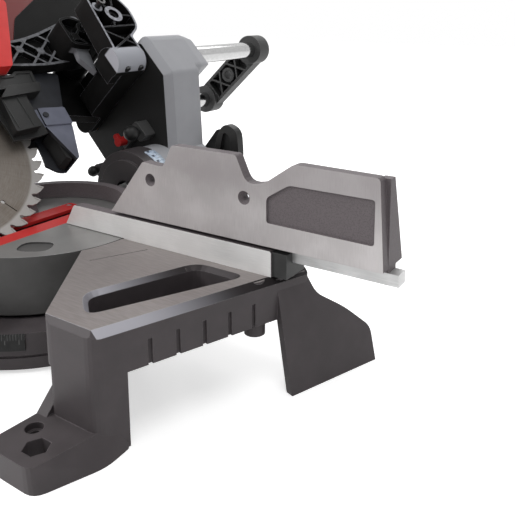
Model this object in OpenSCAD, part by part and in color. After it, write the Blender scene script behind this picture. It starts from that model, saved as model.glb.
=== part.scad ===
// Sliding compound mitre saw, shown with the head down, tilted to the left and both fences drawn out.
// Millimetres. X right, Y to the rear, Z up. Origin on the bench, midway between the two front bench bolts.

/* [Base] */
// Height of the table above the bench
table_h = 108; // [100:1:120]
// Distance from the front bench bolts back to the fence face
fence_back = 184; // [176:1:192]
// Distance between the two front bench bolts
bolt_span = 414; // [408:1:420]
// Radius of a bench bolt hole
bolt_r = 5; // [4:0.5:6]
// Half width of the table at the fence face
wing_x = 319; // [312:1:330]
// Half width of the table at its front corners
nose_x = 256; // [250:1:262]
// Reach of the wings in front of the fence face
nose_y = 164; // [160:1:168]
// Front of the arch between the legs, in front of the fence face
leg_y = 137; // [132:1:142]
// Width of a front leg
nose_w = 55; // [52:1:56]
// Depth of the wing behind the fence face
wing_back = 40; // [38:1:41]
// Height of the wing's side walls
wing_h = 42; // [38:1:48]
// Wall thickness of the base casting
wall = 6; // [5:0.5:8]
// Thickness of a foot flange
foot_t = 22; // [16:1:26]
// Depth of the tray pocket in each wing
pocket_d = 28; // [20:1:32]
// Bevel round the tray pocket
pocket_rim = 4.5; // [3:0.5:5]

/* [Turntable] */
// Radius of the turntable
turn_r = 122; // [120:1:124]
// Gap between the turntable and the wings
turn_gap = 1.5; // [1:0.1:2]
// Height of the turntable drum
turn_h = 62; // [58:1:64]
// Reach of the mitre arm in front of the fence face
arm_reach = 352; // [348:1:370]
// Half width of the mitre arm
arm_half = 25; // [24.5:0.5:26]
// Half width of the kerf slot
kerf_half = 7.5; // [7:0.1:8]
// Thickness of the kerf plates
kerf_t = 4; // [3:0.5:4.5]
// Radius of the mitre pivot bolt
mitre_bolt_r = 8; // [7:0.5:10]

/* [Fences] */
// Height of the fixed fence above the table
fence_h = 25; // [24:0.5:27]
// Right end of the fixed fence from the blade line
fence_x = 315; // [310:1:318]
// Thickness of the fixed fence's face plate
fence_t = 12; // [10:0.5:13]
// Total depth of the fixed fence
fence_d = 34; // [32:1:36]
// Width of the slide bar under a sliding fence
bar_w = 15; // [13:0.5:15.5]
// Height of the slide bar
bar_h = 11; // [9:0.5:12]
// Length of the slide bar
bar_len = 232; // [220:1:240]
// Inner lower corner of the right sliding fence from the blade line
slide_in = 108; // [104:1:114]
// Extra distance by which the left fence is drawn out
left_out = 25; // [24:1:30]
// Length of a sliding fence
slide_len = 318; // [310:1:326]
// Height of a sliding fence's face
slide_h = 83; // [78:1:86]
// Thickness of a sliding fence's face plate
slide_t = 11; // [9:0.5:12]
// Gap between the fixed and the sliding fence
slide_gap = 4; // [3:0.5:5]
// Radius of the holes for an added facing
face_hole_r = 3.2; // [2.6:0.1:4]

/* [Bevel and slide] */
// Tilt of the head to the left
tilt = 43; // [40:1:45]
// Radius of the bevel hub
hub_r = 58; // [54:1:60]
// Front of the bevel hub behind the fence face
hub_y = 130; // [128:1:134]
// Length of the bevel hub
hub_len = 34; // [32:1:36]
// Radius of the bevel pivot bolt
bevel_bolt_r = 10; // [8:0.5:12]
// Front of the bevel arm behind the fence face
arm_y = 193; // [192:1:198]
// Depth of the bevel arm at the rails
arm_d = 107; // [100:1:110]
// Depth of the bevel arm's neck
neck_d = 66; // [60:1:72]
// Height of the rails above the bevel axis
rail_z = 150; // [148:1:154]
// Place of the left rail from the blade plane
rail_left = -45; // [-47:1:-43]
// Distance between the rails
rail_gap = 140; // [136:1:144]
// Radius of a rail
rail_r = 14; // [12:0.5:15]
// Wall of a rail tube
rail_wall = 3; // [2:0.5:4]
// Rear end of the rails behind the fence face
rail_end = 484; // [478:1:500]
// Running clearance of shafts and rails
run = 0.05; // [0.03:0.01:0.08]
// Side clearance between moving pieces
free = 0.4; // [0.3:0.05:0.6]

/* [Head] */
// Place of the chop pivot behind the fence face
pivot_y = 182; // [181:0.5:183]
// Height of the chop pivot above the bevel axis
pivot_z = 220; // [218:1:226]
// Radius of the chop pivot pin
pivot_r = 8; // [7:0.5:10]
// Blade centre in front of the fence face
blade_y = 86; // [83:0.5:89]
// Radius of the blade
blade_r = 127; // [124:1:127]
// Depth of the blade below the table
blade_dip = 12; // [10:1:13]
// Thickness of the blade's teeth
blade_t = 2.6; // [2:0.1:3]
// Number of teeth
teeth = 40; // [36:1:44]
// Radius of the spindle
spindle_r = 8; // [7:0.1:9]
// Radius of the blade flanges
flange_r = 22; // [20:1:23]
// Gap between the blade and the lower guard
guard_gap = 4; // [3:0.5:5]
// Wall of the guards
guard_wall = 3; // [2:0.5:4]
// Radius of the motor housing
motor_r = 40; // [38:0.5:41]
// Length of the motor housing
motor_len = 78; // [74:1:79]

/* [Hidden] */
$fn = 64;
eps = 0.01;
in_r = turn_r + turn_gap;
in_y = 45;
in_x = sqrt(in_r * in_r - in_y * in_y);
lean = (wing_x - nose_x) / nose_y;
edge_a = atan(lean);
drum_z = table_h - turn_h;
ring_z = drum_z - 4;
ring_r = in_r + 30;
floor_z = 4;
slip = 0.3;
fence_bolt_x = [150, 290];
fence_bolt_y = fence_d - 3.1;
fence_bolt_r = 2;
top_t = 8;
kerf_z = table_h - 24;
slide_z = table_h + fence_h + slide_gap;
bar_y = fence_t + free;
bar_z = table_h + fence_h - bar_h;
bolt_x = bolt_span / 2;
bridge_r = 94;
bridge_t = 11;
bridge_h = 20;
lever_x = 238;
lever_z = table_h + 15;
ear_t = 4;
lever_fold = 80;
lever_t = 9;
lever_back = fence_d + lever_t + 2 * free;
knob_x = -hub_r - 36;
knob_z = table_h + 12;
rail_right = rail_left + rail_gap;
rail_front = arm_y - 47;
left_front = arm_y - 15;
left_bore = left_front + 3;
clamp_y = [rail_front + 8, arm_y - 14];
clamp_x = rail_right + 7;
clamp_z = rail_z - rail_r - 3;
left_ear = rail_left + 33;
ear_in = rail_right - 11;
ear_out = rail_right + 20;
neck_half = hub_r - 22;
stop_at = [38, 68];
pawl_at = [-2, 80];
head_x = rail_right - 23;
beam_x = head_x - 36;
shell_x = beam_x + 8;
bush_r = rail_r + 4;
bush_len = 22;
blade_z = blade_r - blade_dip;
guard_in = blade_r + guard_gap;
guard_out = guard_in + guard_wall;
hood_in = guard_out + 3;
hood_r = hood_in + guard_wall;
lower_half = 13;
hood_half = lower_half + 2 + guard_wall;
guard_eye = blade_r - 38;
rear_y = hood_r + 11;
motor_y = 62;
motor_z = pivot_z + 97;
motor_x = hood_half + 14;
motor_up = motor_z - blade_z;
motor_on = blade_y + motor_y;
shaft_r = 6;
rotor_r = 22;
big_r = 20;
small_r = 12;
belt_t = 2.5;

// Points of an outline whose corners [x, y, r] are rounded, each by at most its own share of the sides.
function unit(v) = v / norm(v);
function xy(p) = [p[0], p[1]];
function bend(a, b, c, r) =
    let (
        k = min(r, norm(a - b) * 0.49, norm(c - b) * 0.49),
        s = b + unit(a - b) * k,
        e = b + unit(c - b) * k
    )
    k < 0.01 ? [b] : [for (t = [0:0.25:1]) s * (1 - t) * (1 - t) + b * 2 * t * (1 - t) + e * t * t];
function soft(p) = [
    for (i = [0:len(p) - 1])
        for (q = bend(xy(p[(i + len(p) - 1) % len(p)]), xy(p[i]), xy(p[(i + 1) % len(p)]), p[i][2])) q
];
// The same outline moved inwards by w, for corners that run anticlockwise.
function inset(p, w) = [
    for (i = [0:len(p) - 1])
        let (
            b = xy(p[i]),
            u = unit(b - xy(p[(i + len(p) - 1) % len(p)])),
            v = unit(xy(p[(i + 1) % len(p)]) - b),
            m = [-u[1], u[0]],
            n = [-v[1], v[0]],
            q = b + w * (m + n) / (1 + m * n)
        )
        [q[0], q[1], max(p[i][2] - w, 0)]
];
function edge_x(y) = wing_x + lean * y;
function arc(r, a, b, n) = [for (i = [0:n]) r * [cos(a + (b - a) * i / n), sin(a + (b - a) * i / n)]];

// Places: at the fence face on the blade line, the tilted frame of the head, and both sides at once.
module at_fence() {
    translate([0, fence_back, 0])
        children();
}

module tilted() {
    translate([0, fence_back, table_h])
        rotate([0, -tilt, 0])
            children();
}

module both() {
    children();
    mirror([1, 0, 0])
        children();
}

// An outline in Y and Z, drawn out along X from x0 to x1.
module side(x0, x1) {
    translate([x0, 0, 0])
        rotate([90, 0, 90])
            linear_extrude(x1 - x0)
                children();
}

// An outline in X and Z, drawn out along Y from y0 to y1.
module front(y0, y1) {
    translate([0, y1, 0])
        rotate([90, 0, 0])
            linear_extrude(y1 - y0)
                children();
}

module rod_x(r, x0, x1) {
    translate([x0, 0, 0])
        rotate([0, 90, 0])
            cylinder(r = r, h = x1 - x0);
}

module rod_y(r, y0, y1) {
    translate([0, y1, 0])
        rotate([90, 0, 0])
            cylinder(r = r, h = y1 - y0);
}

module box(lo, hi) {
    translate(lo)
        cube(hi - lo);
}

// A body that changes from one outline to another over the height h
module loft(low, high, h) {
    hull() {
        linear_extrude(eps)
            polygon(soft(low));
        translate([0, 0, h - eps])
            linear_extrude(eps)
                polygon(soft(high));
    }
}

// Base casting
wing_pts = [
    [in_x - 4, wing_back, 0], [in_x - 4, -in_y, 0], [nose_x - nose_w, -nose_y, 8], [nose_x, -nose_y, 8],
    [edge_x(wing_back), wing_back, 6]
];
pocket_pts = [
    [edge_x(-116) - 76, -116, 10], [edge_x(-138) - 40, -138, 10], [edge_x(-14) - 26, -14, 10],
    [edge_x(-14) - 76, -14, 10]
];
leg_pts = [
    [nose_x - nose_w, -nose_y, 8], [nose_x, -nose_y, 8], [edge_x(-leg_y), -leg_y, 0],
    [edge_x(-leg_y) - 40, -leg_y, 0]
];
// The foot's outline on the bench; its top ends at the leg's outer corner.
foot_pts = [
    [bolt_x - 17, -fence_back - 26, 8], [bolt_x - 4, -fence_back - 34, 8],
    [bolt_x + 41, -fence_back - 34, 10],
    [nose_x + 13, -nose_y - 2, 10], [edge_x(-leg_y) + 1, -leg_y, 6], [bolt_x - 12, -leg_y, 6]
];
foot_top = [
    foot_pts[0], foot_pts[1], [bolt_x + 38, -fence_back - 34, 8], [nose_x - 2, -nose_y + 2, 2],
    [edge_x(-leg_y) - 6, -leg_y, 4], foot_pts[5]
];
rear_pts = [
    [13, -12, 16], [122, -30, 0], [122, 34, 8], [92, 62, 12], [60, table_h - 24, 8], [50, table_h, 0],
    [16, table_h, 0]
];

module wing() {
    difference() {
        union() {
            difference() {
                translate([0, 0, table_h - wing_h])
                    linear_extrude(wing_h)
                        polygon(soft(wing_pts));
                translate([0, 0, table_h - wing_h - 1])
                    linear_extrude(wing_h + 1 - top_t)
                        polygon(soft(inset(wing_pts, wall)));
            }
            translate([0, 0, table_h - pocket_d - 4])
                linear_extrude(pocket_d + 4)
                    polygon(soft(inset(pocket_pts, -4)));
        }
        translate([0, 0, table_h - pocket_d])
            linear_extrude(pocket_d + 1)
                polygon(soft(pocket_pts));
        translate([0, 0, table_h - pocket_rim - 0.2])
            loft(inset(pocket_pts, 0.2), inset(pocket_pts, -pocket_rim - 0.5), pocket_rim + 0.7);
        // bevel along the outer edge
        translate([wing_x, 0, table_h])
            rotate([0, 0, -edge_a])
                rotate([0, 45, 0])
                    cube([9, 600, 9], center = true);
        translate([0, -nose_y, table_h])
            rotate([45, 0, 0])
                cube([700, 7, 7], center = true);
        // relief slots in the outer wall
        for (y = [-118:24:-22])
            translate([edge_x(y), y, table_h - wing_h + 10])
                rotate([0, 0, -edge_a])
                    cube([5, 4, 26], center = true);
        // scribed line beside the pocket
        translate([edge_x(-36) - 150, -36, table_h])
            rotate([0, 0, -28])
                cube([1.2, 60, 1.2], center = true);
    }
}

module front_leg() {
    difference() {
        union() {
            translate([0, 0, eps])
                linear_extrude(table_h - 2 * top_t)
                    polygon(soft(leg_pts));
            loft(foot_pts, foot_top, foot_t);
            // gusset that rises from the foot's inner edge
            side(bolt_x - 15, nose_x - nose_w + 3)
                polygon([[-nose_y - 8, foot_t - 2], [-leg_y - 1, foot_t - 2], [-leg_y - 1, foot_t + 32]]);
        }
        // hollow of the leg, open below
        translate([0, 0, -1])
            linear_extrude(table_h - 3 * top_t)
                polygon(soft(inset(leg_pts, wall)));
        translate([bolt_x, -fence_back, -1])
            cylinder(r = bolt_r, h = foot_t + 2);
        translate([bolt_x, -fence_back, foot_t - 6])
            cylinder(r = bolt_r + 2.5, h = 7);
        translate([bolt_x + 21, -fence_back - 14, -1])
            cylinder(r = 11, h = foot_t + 2, $fn = 6);
    }
}

module rear_leg() {
    intersection() {
        translate([edge_x(-10) - 3, -10, table_h - 3])
            rotate([0, 0, -edge_a])
                rotate([0, -15, 0])
                    translate([-wall - 2, 0, -table_h]) {
                        side(0, wall + 2)
                            polygon(soft(rear_pts));
                        // ribs on the inner side
                        for (y = [34, 86])
                            side(-20, eps)
                                polygon([[y, -30], [y + wall, -30], [y + wall, 58], [y, 58]]);
                    }
        box([0, -60, 0], [500, 200, table_h - 3]);
    }
}

module base_half() {
    difference() {
        union() {
            wing();
            front_leg();
            rear_leg();
            // saddle wall beside the turntable
            intersection() {
                translate([0, 0, floor_z])
                    difference() {
                        cylinder(r = ring_r, h = table_h - floor_z);
                        translate([0, 0, -1])
                            cylinder(r = in_r, h = table_h);
                    }
                box([60, -in_y - 4, 0], [ring_r + 1, wing_back, table_h]);
            }
            // web from the ring to the front leg
            translate([0, 0, floor_z])
                linear_extrude(ring_z - floor_z)
                    polygon([
                        [96, -80], [nose_x - nose_w + 6, -leg_y - 8], [nose_x - nose_w + 26, -leg_y],
                        [120, -40]
                    ]);
            // web from the ring to the rear leg, and the boss beside it
            translate([0, 0, table_h - wing_h])
                linear_extrude(wing_h - 1)
                    polygon([[120, 8], [edge_x(8) - 2, 8], [edge_x(24) - 2, 24], [120, 24]]);
            translate([edge_x(-8) - 14, -8, table_h - wing_h - 13])
                cylinder(r = 10, h = wing_h + 12);
        }
        translate([0, 0, drum_z - 3])
            cylinder(r = in_r, h = turn_h + 20);
        translate([0, 0, ring_z])
            cylinder(r = in_r - 2, h = 20);
        // tapped holes of the fence bolts
        for (x = fence_bolt_x)
            translate([x, fence_bolt_y, table_h - top_t])
                cylinder(r = fence_bolt_r, h = top_t + 1);
    }
}

module base_casting() {
    color("dimgray")
        at_fence() {
            both()
                base_half();
            difference() {
                translate([0, 0, floor_z])
                    cylinder(r = ring_r, h = ring_z - floor_z);
                translate([0, 0, floor_z + 8])
                    difference() {
                        cylinder(r = in_r - 6, h = ring_z);
                        cylinder(r = 26, h = ring_z);
                        difference() {
                            cylinder(r = 98, h = ring_z - floor_z);
                            translate([0, 0, -1])
                                cylinder(r = 88, h = ring_z);
                        }
                    }
                cylinder(r = mitre_bolt_r, h = ring_z + 1);
                // drain holes in the floor
                for (a = [45:90:315])
                    rotate([0, 0, a])
                        translate([57, 0, 0])
                            cylinder(r = 18, h = ring_z);
                // groove round the ring
                translate([0, 0, floor_z + 12])
                    difference() {
                        cylinder(r = ring_r + 1, h = 3);
                        translate([0, 0, -1])
                            cylinder(r = ring_r - 2, h = 5);
                    }
            }
        }
}

module mitre_bolt() {
    color("silver")
        at_fence() {
            translate([0, 0, floor_z])
                cylinder(r = mitre_bolt_r, h = kerf_z - 3 - floor_z);
            translate([0, 0, 0.5])
                cylinder(r = mitre_bolt_r * 1.9, h = floor_z - 0.5, $fn = 6);
        }
}

module mitre_scale() {
    color("#4a4a4a")
        at_fence()
            difference() {
                translate([0, 0, ring_z - 17])
                    linear_extrude(17)
                        polygon(concat(arc(ring_r + 2, 228, 312, 40), arc(ring_r + 0.05, 312, 228, 40)));
                for (a = [230:5:310])
                    rotate([0, 0, a])
                        translate([ring_r + 2, 0, ring_z])
                            cube([1.4, 0.8, a % 15 == 0 ? 20 : 11], center = true);
            }
}

// Fences
module fence_bar() {
    difference() {
        union() {
            front(0, fence_t)
                polygon([
                    [32, table_h], [fence_x, table_h], [fence_x, table_h + fence_h - 1.5],
                    [fence_x - 1.5, table_h + fence_h], [48, table_h + fence_h], [46, table_h + fence_h - 1.5]
                ]);
            box([60, fence_t - eps, table_h], [fence_x, fence_d, bar_z - free]);
            box([88, bar_y + bar_w + free, table_h], [fence_x, fence_d, table_h + fence_h - 2]);
            // rear ear that carries the lock lever, on its floor
            box([lever_x - 12, fence_d - eps, table_h], [lever_x + 12, lever_back + ear_t, lever_z - 11]);
            box([lever_x - 12, lever_back, table_h], [lever_x + 12, lever_back + ear_t, lever_z + 9]);
        }
        translate([lever_x, 0, lever_z])
            rod_y(3, fence_d - ear_t, lever_back + ear_t + 1);
    }
}

module fixed_fence() {
    color("silver")
        at_fence()
            difference() {
                union() {
                    both()
                        fence_bar();
                    // curved bridge behind the blade
                    translate([0, 0, table_h])
                        linear_extrude(bridge_h)
                            polygon(concat(
                                arc(bridge_r + bridge_t / 2, 16, 164, 48),
                                arc(bridge_r - bridge_t / 2, 164, 16, 48)
                            ));
                }
                translate([0, 0, table_h - 1])
                    cylinder(r = in_r + 2, h = 1.6);
                for (s = [-1, 1], x = fence_bolt_x)
                    translate([s * x, fence_bolt_y, table_h - 1])
                        cylinder(r = fence_bolt_r, h = fence_h + 2);
            }
}

module fence_caps() {
    color("#222222")
        at_fence()
            both()
                difference() {
                    box([fence_x, 2, table_h + free], [fence_x + 16, fence_d, table_h + fence_h - 1]);
                    box(
                        [fence_x - 1, bar_y - free, bar_z - free],
                        [fence_x + 17, bar_y + bar_w + free, table_h + fence_h + 1]
                    );
                }
}

module fence_bolts() {
    color("black")
        at_fence()
            for (s = [-1, 1], x = fence_bolt_x)
                translate([s * x, fence_bolt_y, 0])
                    difference() {
                        union() {
                            translate([0, 0, table_h - top_t])
                                cylinder(r = fence_bolt_r, h = fence_h + top_t - 2);
                            translate([0, 0, table_h + fence_h - 2])
                                cylinder(r = 3, h = 3);
                        }
                        translate([0, 0, table_h + fence_h - 0.5])
                            cylinder(r = 1.7, h = 4, $fn = 6);
                    }
}

slide_pts = [
    [0, 0, 1], [49, slide_h - 22, 2], [77, slide_h - 24, 4], [89, slide_h, 3], [168, slide_h, 3],
    [180, slide_h - 26, 12], [198, slide_h - 24, 8], [231, slide_h - 1, 4], [slide_len - 5, slide_h - 2, 4],
    [slide_len, 0, 1]
];
slide_x = [59, 177];

module sliding_fence() {
    translate([0, 0, slide_z])
        difference() {
            union() {
                front(0, slide_t)
                    polygon(soft(slide_pts));
                // foot that stands on the slide bar
                box([20, slide_t - eps, 0], [slide_len, bar_y + bar_w, 7]);
                box([slide_len + 9 - bar_len, bar_y, -slide_gap], [slide_len, bar_y + bar_w, eps]);
                // gussets at the back
                for (x = [96, 200])
                    side(x, x + 5)
                        polygon([[slide_t - eps, 6], [bar_y + bar_w, 6], [slide_t - eps, slide_h - 30]]);
                side(slide_len - 9, slide_len)
                    polygon([
                        [slide_t - eps, 0], [fence_d + 8, 0], [slide_t + 9, slide_h - 4],
                        [slide_t - eps, slide_h - 4]
                    ]);
            }
            for (x = slide_x)
                translate([x, 0, slide_h - 40]) {
                    rod_y(face_hole_r, -1, slide_t + 1);
                    translate([0, -eps, 0])
                        rotate([-90, 0, 0])
                            cylinder(r1 = face_hole_r * 2.1, r2 = face_hole_r, h = 4);
                }
            front(-1, 2)
                polygon(soft([
                    [202, 23, 3], [202, 47, 4], [226, 62, 4], [slide_len - 9, 62, 3], [slide_len - 9, 22, 3]
                ]));
        }
}

module slide_bar() {
    translate([slide_len + 9 - bar_len, bar_y, bar_z])
        cube([bar_len, bar_w, bar_h]);
}

module place_right() {
    at_fence()
        translate([slide_in, 0, 0])
            children();
}

module place_left() {
    at_fence()
        mirror([1, 0, 0])
            translate([slide_in + left_out, 0, 0])
                children();
}

module sliding_fence_right() {
    color("silver")
        place_right()
            sliding_fence();
}

module slide_bar_right() {
    color("gray")
        place_right()
            slide_bar();
}

module sliding_fence_left() {
    color("silver")
        place_left()
            sliding_fence();
}

module slide_bar_left() {
    color("gray")
        place_left()
            slide_bar();
}

// Lock lever with its pin, standing upright about its own pivot.
module fence_lever() {
    rod_y(3 - run, fence_d - ear_t, lever_back + ear_t);
    rod_y(9, fence_d + free, fence_d + free + lever_t);
    difference() {
        front(fence_d + free, fence_d + free + lever_t)
            polygon(soft([
                [-9, 0, 0], [9, 0, 0], [10, 60, 8], [17, 84, 8], [15, 112, 8], [0, 118, 10], [-9, 108, 12],
                [-17, 76, 8], [-10, 48, 8]
            ]));
        front(fence_d, fence_d + free + 3)
            polygon(soft([[-10, 76, 5], [7, 82, 4], [6, 106, 4], [-2, 109, 4]]));
    }
}

module fence_lever_right() {
    color("#1a1a1a")
        at_fence()
            translate([lever_x, 0, lever_z])
                fence_lever();
}

// The left lever lies folded outwards.
module fence_lever_left() {
    color("#1a1a1a")
        at_fence()
            translate([-lever_x, 0, lever_z])
                rotate([0, -lever_fold, 0])
                    mirror([1, 0, 0])
                        fence_lever();
}

// Turntable
plate_pts = [
    [kerf_half, 58, 2], [kerf_half, -arm_reach + 16, 2], [20, -arm_reach + 16, 3],
    [20, -turn_r - 2, 4], [30, -turn_r + 18, 4], [30, 58, 3]
];
screw_at = [[24, 51], [22, -95], [14, -turn_r - 58], [14, -arm_reach + 42]];

module turntable() {
    color("#555555")
        at_fence()
            difference() {
                union() {
                    translate([0, 0, drum_z])
                        cylinder(r = turn_r, h = turn_h, $fn = 128);
                    // bearing ring and hub on the base
                    translate([0, 0, ring_z + slip])
                        cylinder(r = 98, h = drum_z - ring_z);
                    // mitre arm and the tail that carries the bevel post
                    box([-arm_half, -arm_reach, drum_z + 16], [arm_half, 0, table_h]);
                    box([-54, 60, drum_z], [54, hub_y + hub_len, table_h - 22]);
                }
                // hollow underside
                difference() {
                    translate([0, 0, ring_z])
                        cylinder(r = turn_r - wall, h = table_h - ring_z - top_t - 4);
                    cylinder(r = 24, h = table_h);
                    translate([0, 0, ring_z])
                        difference() {
                            cylinder(r = 98, h = turn_h);
                            translate([0, 0, -1])
                                cylinder(r = 90, h = turn_h + 2);
                        }
                    box([-54, turn_r - 29, 0], [54, turn_r, table_h]);
                }
                box(
                    [-arm_half + wall, -arm_reach + wall, drum_z],
                    [arm_half - wall, -turn_r + 10, table_h - top_t - 4]
                );
                translate([0, 0, ring_z])
                    cylinder(r = mitre_bolt_r + run, h = table_h - ring_z);
                // kerf slot and the seats of its plates
                box([-20, -arm_reach + 20, kerf_z], [20, 56, table_h + 1]);
                both()
                    translate([0, 0, table_h - kerf_t])
                        linear_extrude(kerf_t + 1)
                            polygon(soft(inset(plate_pts, -0.1)));
                both()
                    for (p = screw_at)
                        translate([p[0], p[1], table_h - kerf_t - 6])
                            cylinder(r = 1.7, h = 8);
                // finger recesses in the top
                both()
                    translate([64, -67, table_h - 2])
                        rotate([0, 0, 32])
                            linear_extrude(3)
                                polygon(soft([[-18, -14, 13], [18, -14, 13], [18, 14, 13], [-18, 14, 13]]));
            }
}

module kerf_plate() {
    difference() {
        translate([0, 0, table_h - kerf_t])
            linear_extrude(kerf_t)
                polygon(soft(plate_pts));
        for (p = screw_at)
            translate([p[0], p[1], table_h - kerf_t - 1]) {
                cylinder(r = 1.9, h = kerf_t + 2);
                translate([0, 0, kerf_t - 1])
                    cylinder(r1 = 1.9, r2 = 3.9, h = 2 + eps);
            }
    }
}

module kerf_plate_right() {
    color("red")
        at_fence()
            kerf_plate();
}

module kerf_plate_left() {
    color("red")
        at_fence()
            mirror([1, 0, 0])
                kerf_plate();
}

module kerf_screws() {
    color("silver")
        at_fence()
            both()
                for (p = screw_at)
                    translate([p[0], p[1], table_h - kerf_t - 6])
                        difference() {
                            union() {
                                cylinder(r = 1.7, h = kerf_t + 5.5);
                                translate([0, 0, kerf_t + 4.1])
                                    cylinder(r1 = 1.7, r2 = 3.2, h = 1.7);
                            }
                            translate([0, 0, kerf_t + 5.3])
                                cube([4, 0.8, 1.2], center = true);
                        }
}

module mitre_pointer() {
    color("red")
        at_fence()
            translate([arm_half, -ring_r, 0]) {
                // foot on the side of the mitre arm
                box([0, 0, ring_z + 2 * slip], [3, 16, drum_z + 30]);
                translate([3, 8, drum_z + 24])
                    rod_x(3, 0, 2);
                // tongue above the scale
                translate([0, 0, ring_z + 2 * slip])
                    linear_extrude(3)
                        polygon([[0, 16], [0, 0], [14, 0], [20, 3], [14, 6], [3, 16]]);
            }
}

// Bevel post on the tail of the turntable; the head tilts about its bore.
module bevel_post() {
    color("#4a4a4a")
        at_fence()
            difference() {
                union() {
                    translate([0, 0, table_h])
                        rod_y(hub_r, hub_y, hub_y + hub_len);
                    box([-50, hub_y - 6, table_h - 22], [50, hub_y + hub_len, table_h]);
                    translate([0, 0, table_h])
                        rod_y(hub_r - 12, hub_y - 5, hub_y + 1);
                    // arm of the lock knob
                    translate([knob_x, hub_y + hub_len, knob_z]) {
                        rod_y(9, 0, 18);
                        box([0, 0, -7], [-knob_x - hub_r - 1, 12, 7]);
                        box([-knob_x - hub_r - 8, -8, -7], [-knob_x - hub_r - 1, 12, 7]);
                        box([-knob_x - hub_r - 8, -8, -7], [-knob_x - hub_r + 12, 0, 7]);
                    }
                }
                translate([0, 0, table_h])
                    rod_y(bevel_bolt_r + run, hub_y - 10, hub_y + hub_len + 1);
                translate([0, 0, table_h])
                    rod_y(bevel_bolt_r + 8, hub_y - 10, hub_y + 6);
                box([-70, hub_y - 20, table_h - 100], [70, hub_y + hub_len + 1, table_h - 22]);
                translate([knob_x, 0, knob_z])
                    rod_y(4, hub_y + hub_len - 4, arm_y);
            }
}

module bevel_scale() {
    color("white")
        at_fence()
            translate([0, hub_y + hub_len - 1, table_h])
                rotate([90, 0, 0])
                    linear_extrude(hub_len / 2)
                        polygon(concat(arc(hub_r + 1.2, 6, 72, 20), arc(hub_r + 0.05, 72, 6, 20)));
}

module post_knob() {
    color("black")
        at_fence()
            translate([knob_x, hub_y + hub_len, knob_z]) {
                rod_y(4 - run, -6, 18);
                translate([0, -9, 0])
                    sphere(r = 8);
            }
}

// Controls at the front of the mitre arm
module mitre_grip() {
    color("#1a1a1a")
        at_fence()
            translate([0, -arm_reach, table_h - 26])
                difference() {
                    union() {
                        box([-26, -24, -18], [26, 0, 22]);
                        rotate([90, 0, 0])
                            rotate_extrude()
                                polygon([
                                    [0, 20], [17, 20], [15, 34], [17, 48], [19, 62], [17, 72], [11, 79],
                                    [0, 80]
                                ]);
                    }
                    // seat of the detent button
                    box([-7, -20, 12], [7, -6, 23]);
                    // pocket of the lock lever
                    box([-14, -25, -19], [14, -4, -4]);
                    translate([0, -12, -11])
                        rod_x(2.5, -30, 30);
                }
}

module mitre_lock() {
    color("#222222")
        at_fence()
            translate([0, -arm_reach - 12, table_h - 37])
                difference() {
                    union() {
                        rod_x(5.5, -13.5, 13.5);
                        rod_x(2.5 - run, -25, 25);
                        side(-13, 13)
                            polygon(soft([
                                [0, -5, 0], [-10, -14, 4], [-52, -25, 4], [-56, -19, 3], [-12, -11, 3],
                                [0, 4, 0]
                            ]));
                    }
                    for (x = [-8:4:8])
                        translate([x, -52, -25])
                            cube([1.2, 14, 3], center = true);
                }
}

module detent_button() {
    color("red")
        at_fence()
            translate([0, -arm_reach - 13, table_h - 26])
                box([-7 + free, -7 + free, 18], [7 - free, 7 - free, 27]);
}

// Bevel arm, drawn upright in the tilted frame
arm_pts = [
    [rail_right + 30, rail_z - 49, 4], [rail_right + 30, rail_z + 24, 14], [rail_left - 30, rail_z + 24, 14],
    [rail_left - 30, rail_z - 66, 6], [-neck_half, -4, 8], [neck_half, -4, 8]
];
house_pts = [
    [rail_right + 30, rail_z - 44, 8], [rail_right + 30, rail_z + 24, 14], [rail_left - 30, rail_z + 24, 14],
    [rail_left - 30, rail_z - 44, 8]
];

module bevel_arm() {
    color("#9a9a9a")
        tilted()
            difference() {
                union() {
                    // neck, with its front edge bevelled
                    hull() {
                        front(arm_y, arm_y + 1)
                            polygon(soft(inset(arm_pts, 9)));
                        front(arm_y + 10, arm_y + neck_d)
                            polygon(soft(arm_pts));
                    }
                    // housing of the rail bushes, which reaches further back
                    hull() {
                        front(arm_y + neck_d - 1, arm_y + arm_d - 26)
                            polygon(soft(house_pts));
                        front(arm_y + arm_d - 1, arm_y + arm_d)
                            polygon(soft(inset(house_pts, 7)));
                    }
                    rod_y(hub_r - 2, hub_y + hub_len + free, arm_y + neck_d);
                }
                rod_y(bevel_bolt_r, hub_y, arm_y + neck_d + 1);
                for (x = [rail_left, rail_right])
                    translate([x, 0, rail_z])
                        rod_y(bush_r, arm_y - 1, arm_y + arm_d + 1);
                // bore of the slide lock
                translate([0, arm_y + arm_d / 2, rail_z])
                    rod_x(5, rail_left - 31, rail_left);
                // cored rear
                front(arm_y + 24, arm_y + arm_d + 1)
                    polygon(soft([
                        [rail_left + 26, rail_z + 12, 6], [rail_left + 26, rail_z - 34, 6],
                        [rail_right - 26, rail_z - 34, 6], [rail_right - 26, rail_z + 12, 6]
                    ]));
            }
}

module rail_bushes() {
    color("darkgoldenrod")
        tilted()
            for (x = [rail_left, rail_right], y = [arm_y + 12, arm_y + arm_d - bush_len])
                translate([x, y, rail_z])
                    difference() {
                        rod_y(bush_r, 0, bush_len);
                        rod_y(rail_r + run, -1, bush_len + 1);
                    }
}

module bevel_bolt() {
    color("silver")
        tilted() {
            rod_y(bevel_bolt_r, hub_y + 1, arm_y + neck_d + 20);
            translate([0, hub_y - 4, 0])
                rotate([90, 0, 0])
                    rotate([0, 0, tilt])
                        translate([0, 0, -5])
                            cylinder(r = bevel_bolt_r + 6, h = 7, $fn = 6);
        }
}

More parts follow.
